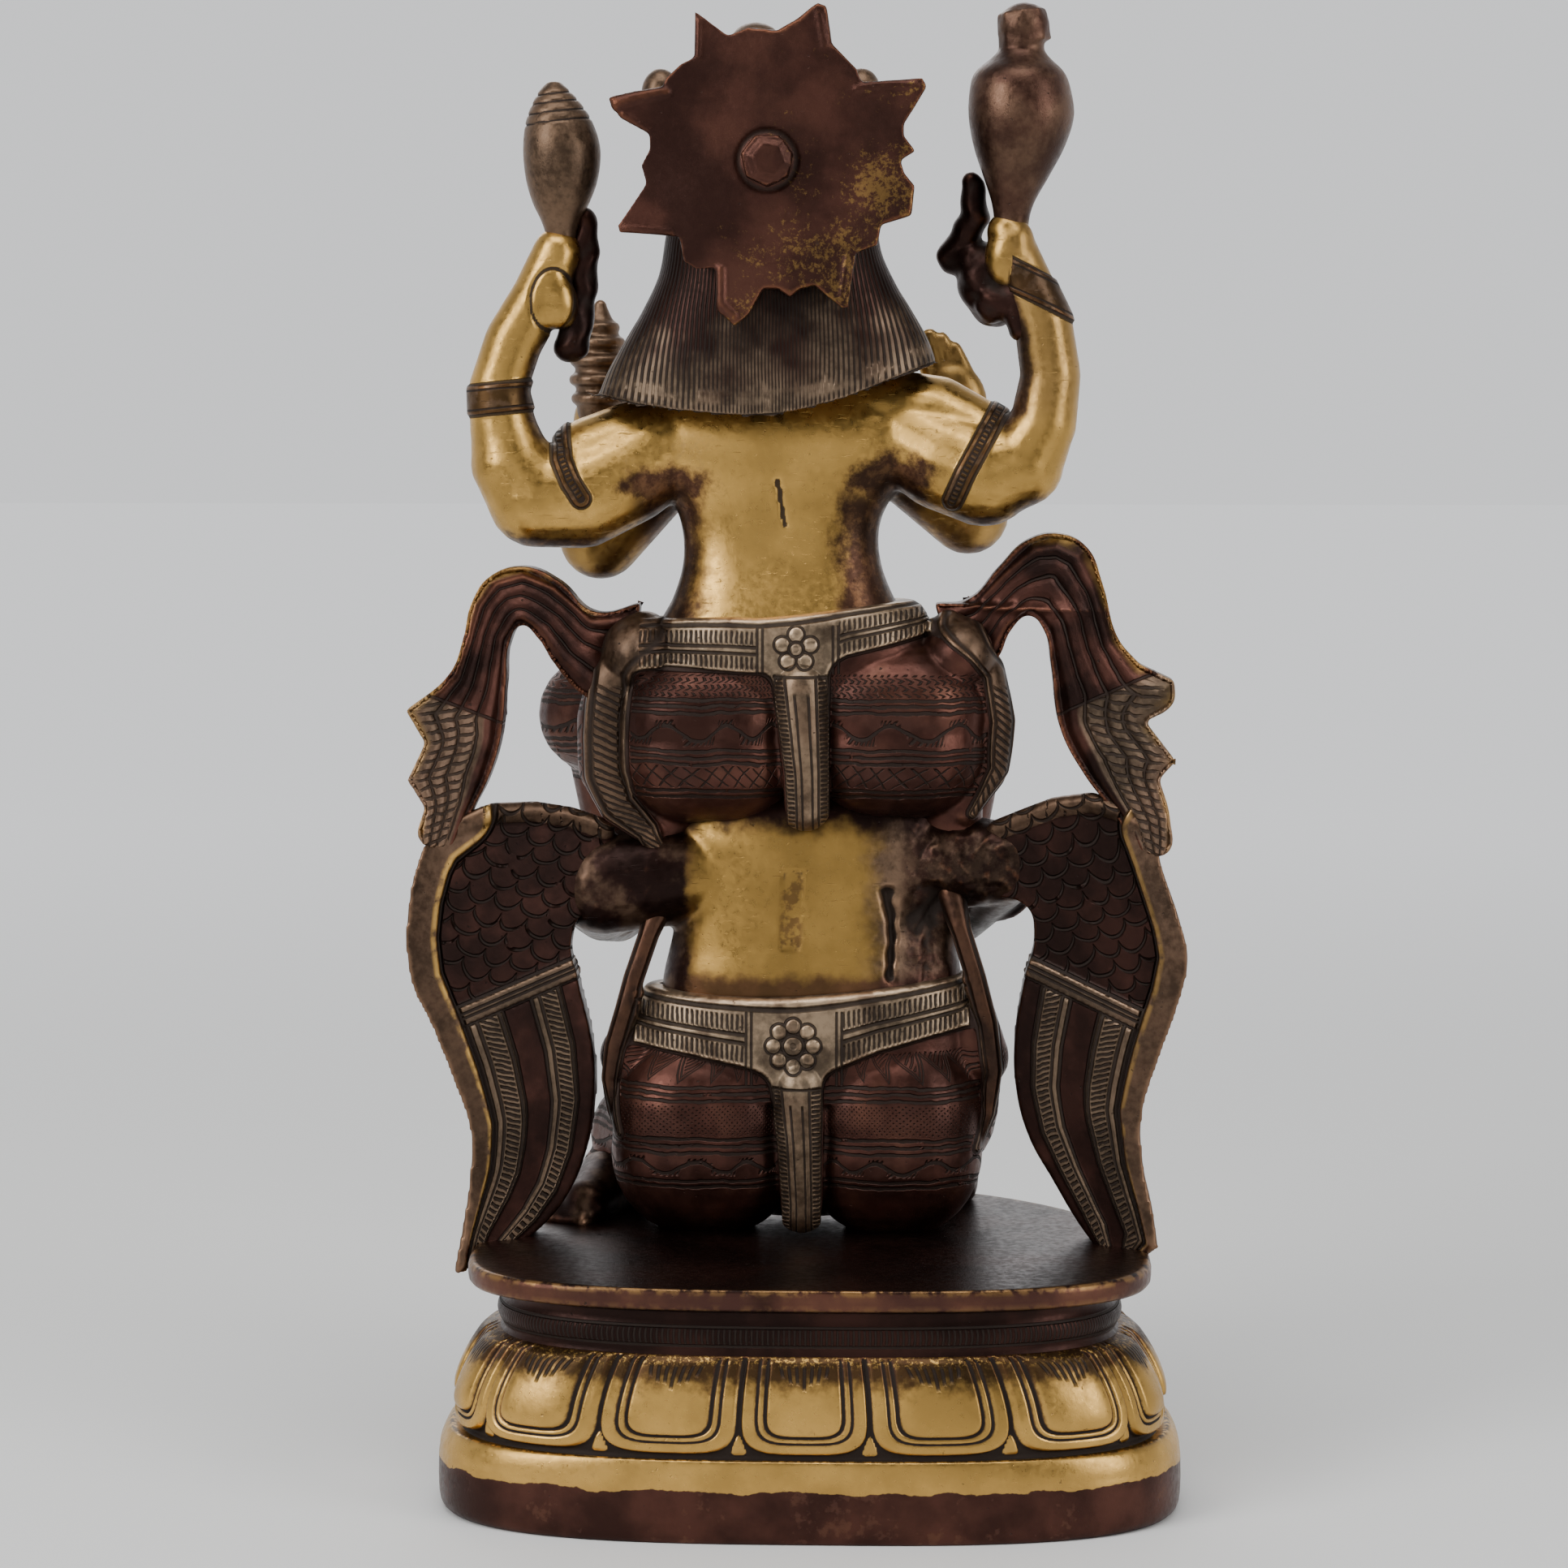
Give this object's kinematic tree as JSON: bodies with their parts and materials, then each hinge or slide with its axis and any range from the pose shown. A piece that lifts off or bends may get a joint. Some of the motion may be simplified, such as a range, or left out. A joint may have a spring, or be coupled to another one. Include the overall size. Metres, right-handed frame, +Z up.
{
  "type": "deity statuette",
  "caption": "Cast brass statuette of Vishnu seated on winged Garuda, on an oval lotus base, with a rayed disc behind the head.",
  "frame": {"origin": "centre of the base's flat underside", "axes": "+Z up, the figures face -Y, +X is the figures' left"},
  "size_m": [0.1601, 0.118, 0.3022],
  "materials": {
    "patinated_brass": "polished brass with dark brown and pewter patina",
    "copper_brown_patina": "red-brown patina, worn to the metal at the edges"
  },
  "bodies": {
    "root": {"statue": "patinated_brass", "rayed_disc": "copper_brown_patina"}
  },
  "joints": []
}
